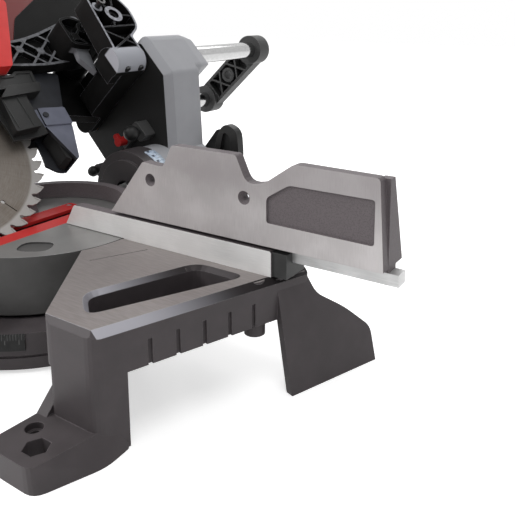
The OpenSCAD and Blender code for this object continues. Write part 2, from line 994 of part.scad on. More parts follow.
module stop_bracket() {
    color("#8a8a8a")
        tilted()
            difference() {
                union() {
                    front(arm_y - 20, arm_y)
                        translate(stop_at)
                            polygon(soft([[-8, -13, 3], [8, -13, 3], [8, 14, 5], [-8, 14, 5]]));
                    box(
                        [pawl_at[0] - 9, arm_y - 10, pawl_at[1] - 9],
                        [stop_at[0] - 7, arm_y, pawl_at[1] + 7]
                    );
                }
                translate([stop_at[0], 0, stop_at[1]])
                    rod_y(4, arm_y - 30, arm_y - 2);
                translate([pawl_at[0], 0, pawl_at[1]])
                    rod_y(3, arm_y - 30, arm_y - 2);
            }
}

module stop_knob() {
    color("black")
        tilted()
            translate([stop_at[0], arm_y, stop_at[1]]) {
                rod_y(4 - run, -32, -3);
                translate([0, -33, 0])
                    sphere(r = 11);
            }
}

module override_lever() {
    color("red")
        tilted()
            translate([pawl_at[0], arm_y, pawl_at[1]]) {
                rod_y(3 - run, -24, -3);
                rod_y(6.5, -24, -10 - free);
                front(-22, -17)
                    polygon(soft([[-5, 0, 2], [5, 0, 2], [4, 13, 3], [-4, 13, 3]]));
            }
}

module bevel_lock() {
    color("#222222")
        tilted()
            translate([0, arm_y + neck_d, 0]) {
                difference() {
                    rod_y(20, free, 20);
                    rod_y(bevel_bolt_r + run, -1, 21);
                }
                front(4, 16)
                    polygon(soft([[16, 8, 4], [90, 18, 7], [92, 4, 7], [16, -10, 4]]));
            }
}

// Carriage
module rails() {
    color("#c8ccd0")
        tilted()
            for (r = [[rail_left, left_bore], [rail_right, rail_front]])
                translate([r[0], 0, rail_z])
                    difference() {
                        rod_y(rail_r, r[1], rail_end);
                        rod_y(rail_r - rail_wall, r[1] - 1, rail_end + 1);
                    }
}

module rear_bracket() {
    mid = (rail_left + rail_right) / 2;
    color("#2a2a2a")
        tilted()
            difference() {
                union() {
                    for (x = [rail_left, rail_right])
                        translate([x, 0, rail_z])
                            rod_y(rail_r + 11, rail_end - 16, rail_end + 12);
                    box([rail_left, rail_end - 10, rail_z - 22], [rail_right, rail_end + 12, rail_z + 22]);
                }
                for (x = [rail_left, rail_right])
                    translate([x, 0, rail_z])
                        rod_y(rail_r, rail_end - 17, rail_end);
                // ribbed front
                difference() {
                    box(
                        [rail_left + rail_r + 12, rail_end - 11, rail_z - 17],
                        [rail_right - rail_r - 12, rail_end + 6, rail_z + 17]
                    );
                    translate([mid, 0, rail_z])
                        rod_y(13, rail_end - 20, rail_end + 20);
                    for (a = [-34, 34], s = [-1, 1])
                        translate([mid + s * 23, rail_end, rail_z])
                            rotate([0, a, 0])
                                cube([3, 40, 70], center = true);
                }
                translate([mid, 0, rail_z])
                    rod_y(8, rail_end - 20, rail_end + 20);
            }
}

ear_pts = [
    [rail_front - 10, rail_z - 4, 0], [arm_y - 5, rail_z - 4, 0], [arm_y - 5, rail_z + 28, 4],
    [pivot_y + 30, pivot_z - 26, 12], [pivot_y + 37, pivot_z + 10, 16], [pivot_y + 24, pivot_z + 38, 14],
    [pivot_y - 30, pivot_z + 42, 14], [pivot_y - 42, rail_z + 14, 6]
];
// Ribs of the ear, each from one point to another.
ear_ribs = [
    [[pivot_y - 40, pivot_z - 23], [pivot_y + 34, pivot_z - 20]],
    [[pivot_y - 40, pivot_z - 26], [pivot_y + 8, pivot_z - 58]],
    [[pivot_y + 32, pivot_z - 26], [pivot_y - 40, pivot_z - 62]],
    [[pivot_y, pivot_z], [pivot_y - 12, pivot_z - 22]],
    [[pivot_y, pivot_z], [pivot_y - 16, pivot_z + 42]],
    [[pivot_y, pivot_z], [pivot_y + 20, pivot_z + 40]],
    [[pivot_y, pivot_z], [pivot_y + 40, pivot_z - 4]]
];
yoke_pts = [
    [rail_left, left_front, 0], [rail_left + 34, left_front, 6], [0, rail_front + 4, 8],
    [rail_right, rail_front + 4, 0], [rail_right, arm_y - 5, 0], [rail_left, arm_y - 5, 0]
];

module pivot_bracket() {
    color("#1e1e1e")
        tilted()
            difference() {
                union() {
                    // right ear: a plate with a rim, bosses and ribs on its outer side
                    side(ear_in, ear_in + 10)
                        polygon(soft(ear_pts));
                    side(ear_in + 9, ear_out)
                        difference() {
                            polygon(soft(ear_pts));
                            polygon(soft(inset(ear_pts, 3)));
                        }
                    translate([0, pivot_y, pivot_z])
                        rod_x(pivot_r + 6, ear_in + 9, ear_out);
                    translate([0, pivot_y - 22, pivot_z + 13])
                        rod_x(8, ear_in + 9, ear_out);
                    side(ear_in + 9, ear_out - 1)
                        intersection() {
                            polygon(soft(ear_pts));
                            union()
                                for (r = ear_ribs)
                                    translate(r[0])
                                        rotate(atan2(r[1][1] - r[0][1], r[1][0] - r[0][0]))
                                            translate([0, -1.2])
                                                square([norm(r[1] - r[0]), 2.4]);
                        }
                    // rail clamps and the yoke between them
                    translate([rail_right, 0, rail_z])
                        rod_y(rail_r + 6.5, rail_front - 10, arm_y - 5);
                    box([head_x + 1, rail_front - 10, rail_z - 19], [rail_right, arm_y - 5, rail_z + 16]);
                    // wall behind the arm's root
                    box([left_ear - 1, arm_y - 11, rail_z], [ear_in + 1, arm_y - 5, pivot_z - 22]);
                    translate([rail_left, 0, rail_z])
                        rod_y(rail_r + 4, left_front, arm_y - 5);
                    translate([0, 0, rail_z - 20])
                        linear_extrude(34)
                            polygon(soft(yoke_pts));
                    // left ear
                    side(left_ear - 14, left_ear)
                        polygon(soft([
                            [arm_y - 73, rail_z - 4, 6], [arm_y - 5, rail_z - 20, 0],
                            [arm_y - 5, rail_z + 30, 4], [pivot_y + 18, pivot_z - 10, 4],
                            [pivot_y + 18, pivot_z + 18, 14], [pivot_y - 18, pivot_z + 18, 14],
                            [pivot_y - 44, pivot_z - 14, 6]
                        ]));
                }
                translate([0, pivot_y, pivot_z])
                    rod_x(pivot_r, left_ear - 20, ear_out + 10);
                translate([0, pivot_y - 22, pivot_z + 13])
                    rod_x(4, ear_in - 1, ear_out + 10);
                for (r = [[rail_left, left_bore], [rail_right, rail_front]])
                    translate([r[0], 0, rail_z])
                        rod_y(rail_r, r[1], arm_y);
                // spot faces of the clamp screws
                for (y = clamp_y)
                    translate([clamp_x, y, clamp_z - 20])
                        cylinder(r = 5, h = 20);
            }
}

module pivot_pin() {
    color("silver")
        tilted()
            translate([0, pivot_y, pivot_z])
                difference() {
                    union() {
                        rod_x(pivot_r, left_ear - 18, ear_out - 4);
                        rod_x(pivot_r + 3, left_ear - 18, left_ear - 14);
                    }
                    rod_x(4, ear_out - 10, ear_out);
                }
}

module rail_screws() {
    color("#444444")
        tilted() {
            for (x = [rail_left, rail_right])
                translate([x, rail_end + 12, rail_z])
                    rotate([-90, 0, 0])
                        difference() {
                            cylinder(r = 8, h = 5);
                            translate([0, 0, 2])
                                cylinder(r = 4.5, h = 4, $fn = 6);
                        }
            for (y = clamp_y)
                translate([clamp_x, y, clamp_z - 3.5])
                    cylinder(r = 4, h = 3.5);
        }
}

module slide_lock() {
    color("#1a1a1a")
        tilted()
            translate([rail_left - 30, arm_y + arm_d / 2, rail_z]) {
                rod_x(5 - run, -10, 30 - rail_r - free);
                difference() {
                    rod_x(15, -22, -free);
                    for (a = [0:45:315])
                        rotate([a, 0, 0])
                            translate([0, 17, 0])
                                rod_x(4.5, -23, 1);
                }
            }
}

module down_pin() {
    color("silver")
        tilted()
            translate([0, pivot_y - 22, pivot_z + 13])
                difference() {
                    union() {
                        rod_x(4 - run, head_x + 2, ear_out + 12);
                        rod_x(6, ear_out + 9, ear_out + 13);
                    }
                    rod_x(3, ear_out + 10, ear_out + 14);
                }
}

// Head, drawn with the blade down
module at_blade() {
    tilted()
        translate([0, -blade_y, blade_z])
            children();
}

// Outlines of the head arm: the wide root at the pivot, the beam that reaches the guard, and the back.
root_pts = [
    [pivot_y, pivot_z - 17, 0], [pivot_y, pivot_z + 17, 0], [pivot_y - 34, pivot_z + 36, 10],
    [pivot_y - 56, pivot_z + 30, 8], [pivot_y - 56, pivot_z - 14, 6], [pivot_y - 34, pivot_z - 20, 8]
];
beam_pts = [
    [pivot_y, pivot_z - 14, 0], [pivot_y + 24, pivot_z, 10], [pivot_y + 28, pivot_z + 44, 10],
    [pivot_y + 18, pivot_z + 70, 10], [97, pivot_z + 30, 30], [30, pivot_z + 20, 10],
    [-10, pivot_z + 20, 8], [-10, pivot_z - 6, 6], [22, pivot_z - 10, 6], [48, pivot_z - 17, 10],
    [98, pivot_z - 21, 20]
];
back_pts = [
    [64, pivot_z + 16, 0], [pivot_y - 20, pivot_z + 30, 0], [pivot_y + 24, pivot_z + 50, 8],
    [pivot_y + 82, pivot_z + 100, 10], [pivot_y + 94, pivot_z + 128, 14], [pivot_y - 2, pivot_z + 134, 0],
    [pivot_y - 90, pivot_z + 80, 0]
];
claw_pts = [
    [pivot_y - 46, pivot_z - 12, 0], [pivot_y - 51, pivot_z - 33, 3], [pivot_y - 38, pivot_z - 60, 2],
    [pivot_y - 29, pivot_z - 29, 4], [pivot_y - 28, pivot_z - 12, 0]
];
// Middles of the crossed ribs of the beam, as far from the pivot.
beam_ribs = [[-110, 10], [-79, 5], [-46, 12]];

// Pocket of one side of the arm, with crossed ribs left standing round the middle points.
module ribbed(pts, x, depth, at) {
    difference() {
        side(x - depth, x + 1)
            polygon(soft(inset(pts, 4)));
        for (p = at)
            translate([x, pivot_y + p[0], pivot_z + p[1]]) {
                for (a = [-48, 48])
                    rotate([a, 0, 0])
                        cube([4 * depth, 3, 160], center = true);
                rod_x(6, -depth - 1, 0);
            }
        translate([0, pivot_y, pivot_z])
            rod_x(pivot_r + 10, x - depth - 1, x + 2);
        translate([0, pivot_y - 22, pivot_z + 13])
            rod_x(10, x - depth - 1, x + 2);
    }
}

module head_arm() {
    color("#1e1e1e")
        tilted()
            difference() {
                union() {
                    translate([0, pivot_y, pivot_z])
                        rod_x(pivot_r + 10, left_ear + free, ear_in - free);
                    side(hood_half, head_x)
                        polygon(soft(root_pts));
                    side(hood_half, beam_x)
                        polygon(soft(beam_pts));
                    side(head_x - 18, head_x - 10)
                        polygon(soft(claw_pts));
                    // back of the arm behind the crest of the guard
                    difference() {
                        side(-hood_half + 4, hood_half + 1)
                            polygon(soft(back_pts));
                        translate([0, -blade_y, blade_z])
                            side(-hood_half, hood_half + 2)
                                polygon(soft(crest_pts));
                    }
                }
                translate([0, pivot_y, pivot_z])
                    rod_x(pivot_r + run, left_ear - 1, rail_right);
                translate([0, pivot_y - 22, pivot_z + 13])
                    rod_x(4 + free, head_x - 14, head_x + 1);
                ribbed(root_pts, head_x, 14, [[-44, -2]]);
                difference() {
                    ribbed(beam_pts, beam_x, 8, beam_ribs);
                    side(0, head_x + 2)
                        polygon(soft(root_pts));
                }
            }
}

hood_pts = concat(
    arc(hood_r, -4, 184, 48), [[-hood_r * 0.9, -12], [hood_r * 0.9, -12]]
);
crest_pts = [
    [0, hood_r - 12, 0], [111, hood_r - 40, 0], [145, hood_r - 43, 4], [198, hood_r + 46, 6],
    [273, hood_r + 98, 10], [247, hood_r + 112, 16], [161, hood_r + 86, 20], [71, hood_r + 26, 30]
];
// Side of the red shell, which reaches round the front of the arm
shell_pts = [
    [104, hood_r - 57, 3], [126, hood_r - 58, 4], [155, hood_r + 6, 6], [178, hood_r + 57, 10],
    [146, hood_r + 66, 16], [66, hood_r + 42, 20], [24, hood_r + 6, 14], [20, hood_r - 19, 8],
    [96, hood_r - 41, 6]
];

module upper_guard() {
    color("#202020")
        at_blade()
            difference() {
                side(-hood_half, hood_half)
                    polygon(hood_pts);
                rod_x(hood_in, -lower_half - 2, lower_half + 2);
                rod_x(flange_r + 4, -hood_half - 1, 0);
                rod_x(guard_eye, 0, hood_half + 1);
                side(-lower_half - 2, lower_half + 2)
                    polygon([[-200, 0], [-200, -60], [200, -60], [200, 0]]);
            }
}

module guard_shell() {
    color("red")
        at_blade()
            difference() {
                union() {
                    side(-hood_half, hood_half)
                        polygon(soft(crest_pts));
                    side(hood_half - 1, shell_x)
                        polygon(soft(shell_pts));
                }
                rod_x(hood_r, -hood_half - 1, hood_half);
                translate([0, blade_y, -blade_z])
                    side(hood_half, beam_x)
                        polygon(soft(beam_pts));
            }
}

module belt_loop(w) {
    hull() {
        circle(r = big_r + w, $fn = 48);
        translate([motor_on, motor_up])
            circle(r = small_r + w, $fn = 32);
    }
}

module belt_cover() {
    color("#222222")
        at_blade()
            difference() {
                union() {
                    side(-motor_x, -hood_half)
                        belt_loop(12);
                    rod_x(flange_r + 1.9, -hood_half - 1, -lower_half + 3);
                }
                // room of the belt drive
                side(-motor_x + 3, -hood_half - 3)
                    belt_loop(8);
                rod_x(spindle_r + run, -motor_x + 3, 0);
                translate([0, motor_on, motor_up])
                    rod_x(shaft_r + run, -motor_x - 1, -motor_x + 4);
            }
}

module spindle_pulley() {
    color("#8c9094")
        at_blade()
            difference() {
                rod_x(big_r, -motor_x + 4, -hood_half - 4);
                rod_x(spindle_r, -motor_x + 3, -hood_half - 3);
            }
}

module motor_pulley() {
    color("#8c9094")
        at_blade()
            translate([0, motor_on, motor_up])
                difference() {
                    rod_x(small_r, -motor_x + 4, -hood_half - 4);
                    rod_x(shaft_r, -motor_x + 3, -hood_half - 3);
                }
}

module drive_belt() {
    color("#111111")
        at_blade()
            side(-motor_x + 4.5, -hood_half - 4.5)
                difference() {
                    belt_loop(slip + belt_t);
                    belt_loop(slip);
                }
}

module motor_housing() {
    color("#1a1a1a")
        tilted()
            translate([0, motor_y, motor_z])
                difference() {
                    union() {
                        rod_x(motor_r, -motor_x - motor_len, -motor_x);
                        side(-motor_x - motor_len + 6, -motor_x - 4)
                            polygon([[-36, 0], [36, 0], [36, motor_r], [-36, motor_r]]);
                    }
                    // room of the motor and the bearings of its shaft
                    rod_x(motor_r - 5, -motor_x - motor_len + 6, -motor_x - 6);
                    rod_x(shaft_r + run, -motor_x - motor_len + 2, -motor_x + 1);
                    // cooling slots
                    for (a = [-150:20:-30])
                        rotate([a + 180, 0, 0])
                            translate([-motor_x - motor_len + 18, 0, -motor_r])
                                cube([16, 4, 14], center = true);
                }
}

module stator() {
    color("#b87333")
        tilted()
            translate([0, motor_y, motor_z])
                difference() {
                    rod_x(motor_r - 5, -motor_x - motor_len + 28, -motor_x - 14);
                    rod_x(rotor_r + free, -motor_x - motor_len, -motor_x);
                    for (a = [0:60:300])
                        rotate([a, 0, 0])
                            box([-motor_x - motor_len, rotor_r + 4, -3], [-motor_x, motor_r, 3]);
                }
}

module rotor() {
    color("#6a6e72")
        tilted()
            translate([0, motor_y, motor_z]) {
                rod_x(shaft_r, -motor_x - motor_len + 2.5, -hood_half - 4.5);
                rod_x(rotor_r, -motor_x - motor_len + 28, -motor_x - 14);
            }
}

module motor_cap() {
    color("red")
        tilted()
            translate([-motor_x - motor_len, motor_y, motor_z])
                difference() {
                    rod_x(motor_r - 4, -6, 0);
                    for (a = [0:30:330])
                        rotate([a, 0, 0])
                            translate([-6, 0, 22])
                                cube([4, 3, 18], center = true);
                }
}

handle_pts = [
    [-45, hood_r - 18, 0], [-12, hood_r + 18, 16], [-40, hood_r + 86, 30], [-138, hood_r + 74, 34],
    [-190, hood_r + 8, 30], [-186, hood_r - 38, 16], [-120, hood_r - 60, 0]
];
grip_pts = [
    [-62, hood_r + 8, 16], [-46, hood_r + 26, 12], [-60, hood_r + 58, 18], [-126, hood_r + 48, 24],
    [-164, hood_r - 2, 18], [-158, hood_r - 18, 10], [-120, hood_r - 12, 16]
];

module main_handle() {
    color("#1a1a1a")
        at_blade()
            difference() {
                side(-15, 15)
                    polygon(soft(handle_pts));
                side(-16, 16)
                    polygon(soft(grip_pts));
                rod_x(hood_r, -20, 20);
                side(-16, 16)
                    polygon(soft(crest_pts));
                // seats of the trigger and the lock-off button
                side(-6, 6)
                    polygon([
                        [-84, hood_r + 48], [-84, hood_r + 68], [-126, hood_r + 66], [-126, hood_r + 38]
                    ]);
                translate([0, -58, hood_r + 68])
                    rod_x(5, -20, 20);
                translate([0, -90, hood_r + 61])
                    rod_x(2, -20, 20);
            }
}

module trigger() {
    color("red")
        at_blade()
            translate([0, -90, hood_r + 61]) {
                rod_x(2 - run, -14, 14);
                difference() {
                    side(-6 + free, 6 - free)
                        polygon(soft([
                            [4, 3, 1], [4, -9, 2], [-12, -24, 5], [-28, -22, 4], [-32, -8, 2], [-28, 0, 1]
                        ]));
                    side(-7, 7)
                        polygon([[-20, -1], [-36, -6], [-36, 6], [-20, 6]]);
                }
            }
}

module lock_off() {
    color("#444444")
        at_blade()
            translate([0, -58, hood_r + 68])
                rod_x(5 - run, -19, 19);
}

module battery_pack() {
    color("#303030")
        tilted()
            translate([-motor_x - motor_len / 2, motor_y, motor_z + motor_r])
                difference() {
                    front(-44, 48)
                        polygon(soft([
                            [-32, 0, 3], [32, 0, 3], [38, 14, 4], [38, 52, 10], [-38, 52, 10], [-38, 14, 4]
                        ]));
                    for (x = [-26:13:26])
                        translate([x, -44, 32])
                            cube([4, 5, 28], center = true);
                }
}

// Boot behind the blade that catches the dust, and the duct that rises from it
boot_pts = [
    [rear_y - 22, -22, 0], [rear_y - 20, -36, 6], [rear_y - 4, -53, 6], [rear_y + 10, -56, 5],
    [rear_y + 31, -3, 8], [rear_y + 33, 23, 4], [rear_y + 61, 83, 6], [rear_y + 20, 92, 8],
    [rear_y - 16, 34, 0]
];
mouth_pts = [
    [rear_y - 28, -80, 0], [rear_y + 3, -80, 0], [rear_y + 6, -56, 4], [rear_y + 26, -6, 8],
    [rear_y + 2, 20, 6], [rear_y - 24, 20, 0]
];
collar_pts = [[rear_y - 10, 1, 2], [rear_y + 31, -3, 2], [rear_y + 33, 24, 2], [rear_y - 7, 29, 2]];

module dust_chute() {
    color("#26282c")
        at_blade() {
            difference() {
                side(-hood_half + 2, hood_half)
                    polygon(soft(boot_pts));
                rod_x(hood_r + 0.02, -40, 40);
                side(-hood_half + 5, hood_half - 5)
                    polygon(soft(mouth_pts));
                // right wall cut back
                side(hood_half - 6, hood_half + 1)
                    polygon([
                        [rear_y - 50, -4], [rear_y - 9, 0], [rear_y + 7, -57], [rear_y, -80],
                        [rear_y - 50, -80]
                    ]);
                side(hood_half - 2, hood_half + 1)
                    polygon([
                        [rear_y - 20, 29], [rear_y + 40, 24], [rear_y + 70, 83], [rear_y + 20, 110]
                    ]);
            }
            side(hood_half, hood_half + 2.5)
                polygon(soft(collar_pts));
            translate([0, rear_y - 2, 16])
                rod_x(4, hood_half + 2, hood_half + 4.5);
        }
}

// Cover plates on the right of the guard
panel_low = [
    [rear_y - 61, -6, 3], [rear_y - 23, -4, 3], [rear_y - 20, 46, 0], [rear_y - 56, 46, 0]
];
panel_step = [
    [rear_y - 58, 43, 2], [rear_y + 2, 46, 2], [rear_y + 8, 60, 2], [rear_y - 40, 60, 2]
];
panel_top = [
    [rear_y - 58, 58, 0], [rear_y + 6, 58, 0], [rear_y + 10, 83, 4], [rear_y - 16, 84, 4],
    [rear_y - 22, 79, 2], [rear_y - 52, 79, 4]
];

module side_panel() {
    color("#141414")
        at_blade()
            difference() {
                union() {
                    side(hood_half, hood_half + 12)
                        polygon(soft(panel_low));
                    side(hood_half, hood_half + 16)
                        polygon(soft(panel_step));
                    side(hood_half, hood_half + 12)
                        polygon(soft(panel_top));
                    // raised edges of the low plate
                    for (y = [rear_y - 56, rear_y - 35])
                        box([hood_half + 11, y, -2], [hood_half + 12.8, y + 1.2, 44]);
                }
                side(hood_half + 10.8, hood_half + 13)
                    polygon(soft(inset(panel_top, 4)));
            }
}

module dust_flap() {
    color("black")
        at_blade()
            difference() {
                side(-hood_half + 5 + free, hood_half - 5 - free)
                    polygon([
                        [rear_y - 2, -4], [rear_y - 2, -46], [rear_y + 3, -52], [rear_y + 14, -24],
                        [rear_y + 14, -4]
                    ]);
                rod_x(hood_r + 2, -40, 40);
            }
}

// Guard, blade and spindle
guard_arc = [6, 174];

module lower_guard() {
    color("#333333")
        at_blade() {
            side(-lower_half + 1, lower_half - 1)
                polygon(concat(
                    arc(guard_out, guard_arc[0], guard_arc[1], 40),
                    arc(guard_in, guard_arc[1], guard_arc[0], 40)
                ));
            side(lower_half - 2, lower_half)
                polygon(concat(
                    arc(guard_out, guard_arc[0], guard_arc[1], 40),
                    arc(blade_r - 32, guard_arc[1], guard_arc[0], 40)
                ));
            difference() {
                side(-lower_half, -lower_half + 2)
                    union() {
                        polygon(arc(guard_out, guard_arc[0], guard_arc[1], 40));
                        circle(r = flange_r + 10);
                    }
                rod_x(flange_r + 2, -lower_half - 1, 0);
            }
        }
}

function tooth(i) =
    let (a = -i * 360 / teeth, s = 360 / teeth, r = blade_r)
    [
        for (p = [
            [r - 0.4, 0], [r - 3, 0.34], [r - 7, 0.62], [r - 11, 0.72], [r - 12.5, 0.82], [r - 11, 0.93]
        ])
            p[0] * [cos(a - p[1] * s), sin(a - p[1] * s)]
    ];

module blade() {
    color("#b8bcc0")
        at_blade()
            difference() {
                union() {
                    side(-blade_t * 0.35, blade_t * 0.35)
                        polygon([for (i = [0:teeth - 1], p = tooth(i)) p]);
                    for (i = [0:teeth - 1])
                        rotate([-i * 360 / teeth, 0, 0])
                            box([-blade_t / 2, blade_r - 8, -0.6], [blade_t / 2, blade_r - 0.1, 1.4]);
                }
                rod_x(spindle_r, -5, 5);
                for (a = [30:90:300])
                    rotate([a, 0, 0]) {
                        box([-5, blade_r - 36, -0.6], [5, blade_r - 18, 0.6]);
                        translate([0, blade_r - 37, 0])
                            rod_x(2.5, -5, 5);
                    }
            }
}

module blade_flanges() {
    color("#8c9094")
        at_blade()
            for (s = [0, 1])
                mirror([s, 0, 0])
                    difference() {
                        union() {
                            rod_x(flange_r, blade_t * 0.35, 4);
                            rod_x(flange_r - 7, 3.9, 7);
                        }
                        rod_x(spindle_r, 0, 8);
                    }
}

module arbor_bolt() {
    color("#3a3a3a")
        at_blade()
            difference() {
                rod_x(spindle_r + 4, 7, 13);
                translate([10, 0, 0])
                    rotate([0, 90, 0])
                        cylinder(r = 5, h = 4, $fn = 6);
            }
}

module spindle() {
    color("#9a9ea2")
        at_blade()
            rod_x(spindle_r, -motor_x + 3 + free, 7);
}

base_casting();
mitre_bolt();
mitre_scale();
fixed_fence();
fence_caps();
fence_bolts();
turntable();
kerf_plate_right();
kerf_plate_left();
kerf_screws();
mitre_pointer();
bevel_post();
bevel_scale();
post_knob();
mitre_grip();
mitre_lock();
detent_button();
sliding_fence_right();
slide_bar_right();
sliding_fence_left();
slide_bar_left();
fence_lever_right();
fence_lever_left();
bevel_arm();
rail_bushes();
bevel_bolt();
stop_bracket();
stop_knob();
override_lever();
bevel_lock();
rails();
rear_bracket();
pivot_bracket();
pivot_pin();
rail_screws();
slide_lock();
down_pin();
head_arm();
upper_guard();
guard_shell();
belt_cover();
motor_housing();
motor_cap();
main_handle();
battery_pack();
dust_chute();
side_panel();
dust_flap();
trigger();
lock_off();
lower_guard();
blade();
blade_flanges();
arbor_bolt();
spindle();
spindle_pulley();
drive_belt();
motor_pulley();
rotor();
stator();
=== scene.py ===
"""Sliding mitre saw: finishes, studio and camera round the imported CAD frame."""

import math

import bpy
from mathutils import Matrix, Vector


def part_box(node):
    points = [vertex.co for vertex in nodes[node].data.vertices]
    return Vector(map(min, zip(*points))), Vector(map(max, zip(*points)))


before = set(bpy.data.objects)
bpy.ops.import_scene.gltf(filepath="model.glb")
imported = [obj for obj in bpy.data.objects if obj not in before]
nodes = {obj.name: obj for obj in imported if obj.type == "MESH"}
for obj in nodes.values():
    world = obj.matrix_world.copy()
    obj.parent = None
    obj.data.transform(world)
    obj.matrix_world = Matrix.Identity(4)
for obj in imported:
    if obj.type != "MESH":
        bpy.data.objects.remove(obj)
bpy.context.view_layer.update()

# Places of the saw, in metres and radians, in the frame of the CAD part
TABLE = 0.108
FENCE = 0.184
TILT = math.radians(43)
BEVEL_AXIS = (0.0, FENCE, TABLE)
BLADE = (0.0, -0.086, 0.115)
MM = 0.001

# Factors that draw out a grain across the saw, or upwards
GRAIN_ACROSS = (0.05, 1.0, 1.0)
GRAIN_UPWARD = (1.0, 1.0, 0.06)

# The photograph's lens, in pixels, and the place and turn of its camera
PHOTO_WIDTH = 515
FOCAL_LENGTH = 640
CAMERA_PLACE = (0.61837, -0.28673, 0.3530)
CAMERA_PITCH = math.radians(10.4)
CAMERA_HEADING = math.radians(32.5)


class Signal:
    """A socket of a finish. Arithmetic on it adds Math nodes."""

    def __init__(self, finish, socket):
        self.finish = finish
        self.socket = socket

    def math(self, operation, *terms):
        return self.finish.node("ShaderNodeMath", {"operation": operation}, dict(enumerate(terms)))

    def __add__(self, other):
        return self.math("ADD", self, other)

    def __radd__(self, other):
        return self.math("ADD", other, self)

    def __sub__(self, other):
        return self.math("SUBTRACT", self, other)

    def __rsub__(self, other):
        return self.math("SUBTRACT", other, self)

    def __mul__(self, other):
        return self.math("MULTIPLY", self, other)

    def __rmul__(self, other):
        return self.math("MULTIPLY", other, self)

    def __pow__(self, other):
        return self.math("POWER", self, other)

    def __abs__(self):
        return self.math("ABSOLUTE", self)

    def most(self, other):
        return self.math("MAXIMUM", self, other)

    def angle(self, base):
        """The angle whose tangent is this value over the base."""
        return self.math("ARCTAN2", self, base)

    def ramp(self, low, high):
        """0 below low and 1 above high, or the other way round when low is the larger."""
        inputs = {"Value": self, "From Min": low, "From Max": high}
        return self.finish.node("ShaderNodeMapRange", {"interpolation_type": "SMOOTHSTEP"}, inputs)

    def over(self, limit, blur):
        return self.ramp(limit - blur, limit + blur)

    def within(self, low, high, blur):
        return self.over(low, blur) * (1 - self.over(high, blur))

    def comb(self, pitch, width, blur):
        """1 on lines of the given width that repeat at the given pitch, counted from 0."""
        wave = abs(self.math("WRAP", self, pitch / 2, -pitch / 2))
        return 1 - wave.over(width / 2, blur)


class Finish:
    """One material, made of a Principled shader and the signals that vary over the surface."""

    def __init__(self, name, rounding=0.6 * MM):
        self.material = bpy.data.materials.new(name)
        self.material.use_nodes = True
        self.tree = self.material.node_tree
        self.shader = self.tree.nodes["Principled BSDF"]
        self.rounding = rounding

    def node(self, kind, settings=None, inputs=None, out=0):
        made = self.tree.nodes.new(kind)
        for key, value in (settings or {}).items():
            setattr(made, key, value)
        for key, value in (inputs or {}).items():
            self.feed(made.inputs[key], value)
        return Signal(self, made.outputs[out])

    def feed(self, socket, value):
        if isinstance(value, Signal):
            self.tree.links.new(value.socket, socket)
        elif isinstance(value, tuple) and len(value) == 3 and socket.type == "RGBA":
            socket.default_value = (*value, 1.0)
        else:
            socket.default_value = value

    # Where a point lies and how its surface faces, both in the CAD frame at rest
    def place(self):
        return self.node("ShaderNodeTexCoord", out="Object")

    def facing(self):
        return self.node("ShaderNodeTexCoord", out="Normal")

    def facing_upright(self):
        return self.upright(self.facing(), (0.0, 0.0, 0.0))

    def axes(self, vector):
        parts = self.node("ShaderNodeSeparateXYZ", None, {0: vector}).socket.node
        return [Signal(self, socket) for socket in parts.outputs]

    def upright(self, vector, centre=BEVEL_AXIS):
        """The vector turned as if the head stood upright, counted from the bevel axis."""
        turn = {"Vector": vector, "Center": centre, "Angle": TILT}
        turned = self.node("ShaderNodeVectorRotate", {"rotation_type": "Y_AXIS"}, turn)
        return self.shift(turned, centre)

    def shift(self, vector, origin):
        return self.node("ShaderNodeVectorMath", {"operation": "SUBTRACT"}, {0: vector, 1: origin})

    def stretch(self, vector, factors):
        return self.node("ShaderNodeVectorMath", {"operation": "MULTIPLY"}, {0: vector, 1: factors})

    def join(self, x, y, z):
        return self.node("ShaderNodeCombineXYZ", None, {0: x, 1: y, 2: z})

    def noise(self, size, detail=3.0, at=None):
        """Cloudy values round 0.5 whose lumps have about the given size in metres."""
        inputs = {"Vector": at or self.place(), "Scale": 1 / size, "Detail": detail}
        return self.node("ShaderNodeTexNoise", None, inputs)

    def grains(self, size):
        inputs = {"Vector": self.place(), "Scale": 1 / size}
        return self.node("ShaderNodeTexVoronoi", None, inputs)

    def mix(self, factor, low, high):
        inputs = {"Factor": factor, 6: low, 7: high}
        return self.node("ShaderNodeMix", {"data_type": "RGBA"}, inputs, out=2)

    def blend(self, factor, low, high):
        return low + factor * (high - low)

    def rounded(self, radius):
        return self.node("ShaderNodeBevel", {"samples": 4}, {"Radius": radius})

    def edges(self, radius=1.2 * MM):
        """1 along sharp edges, fading to 0 within the given radius."""
        true = self.node("ShaderNodeNewGeometry", out="Normal")
        lean = self.node(
            "ShaderNodeVectorMath", {"operation": "DOT_PRODUCT"}, {0: self.rounded(radius), 1: true}, out=1
        )
        return (1 - lean).ramp(0.02, 0.22)

    def surface(self, colour, roughness, metal=0.0, relief=None, depth=0.1 * MM, **constants):
        self.feed(self.shader.inputs["Base Color"], colour)
        self.feed(self.shader.inputs["Roughness"], roughness)
        self.feed(self.shader.inputs["Metallic"], metal)
        for name, value in constants.items():
            self.feed(self.shader.inputs[name.replace("_", " ")], value)
        normal = self.rounded(self.rounding)
        if relief is not None:
            inputs = {"Height": relief, "Distance": depth, "Strength": 1.0, "Normal": normal}
            normal = self.node("ShaderNodeBump", None, inputs)
        self.feed(self.shader.inputs["Normal"], normal)
        return self.material


# Finishes. Each function names one surface of the saw.
def grey(level, warmth=0.0):
    return (level * (1 + warmth), level, level * (1 - warmth))


def umber(level):
    """The faintly reddish grey of the cast paint."""
    return (1.15 * level, level, 1.05 * level)


def cast_relief(finish, size=0.7 * MM):
    """The fine orange peel of paint on a casting."""
    return finish.noise(size, 2) * 0.7 + finish.noise(5 * size, 2) * 0.6


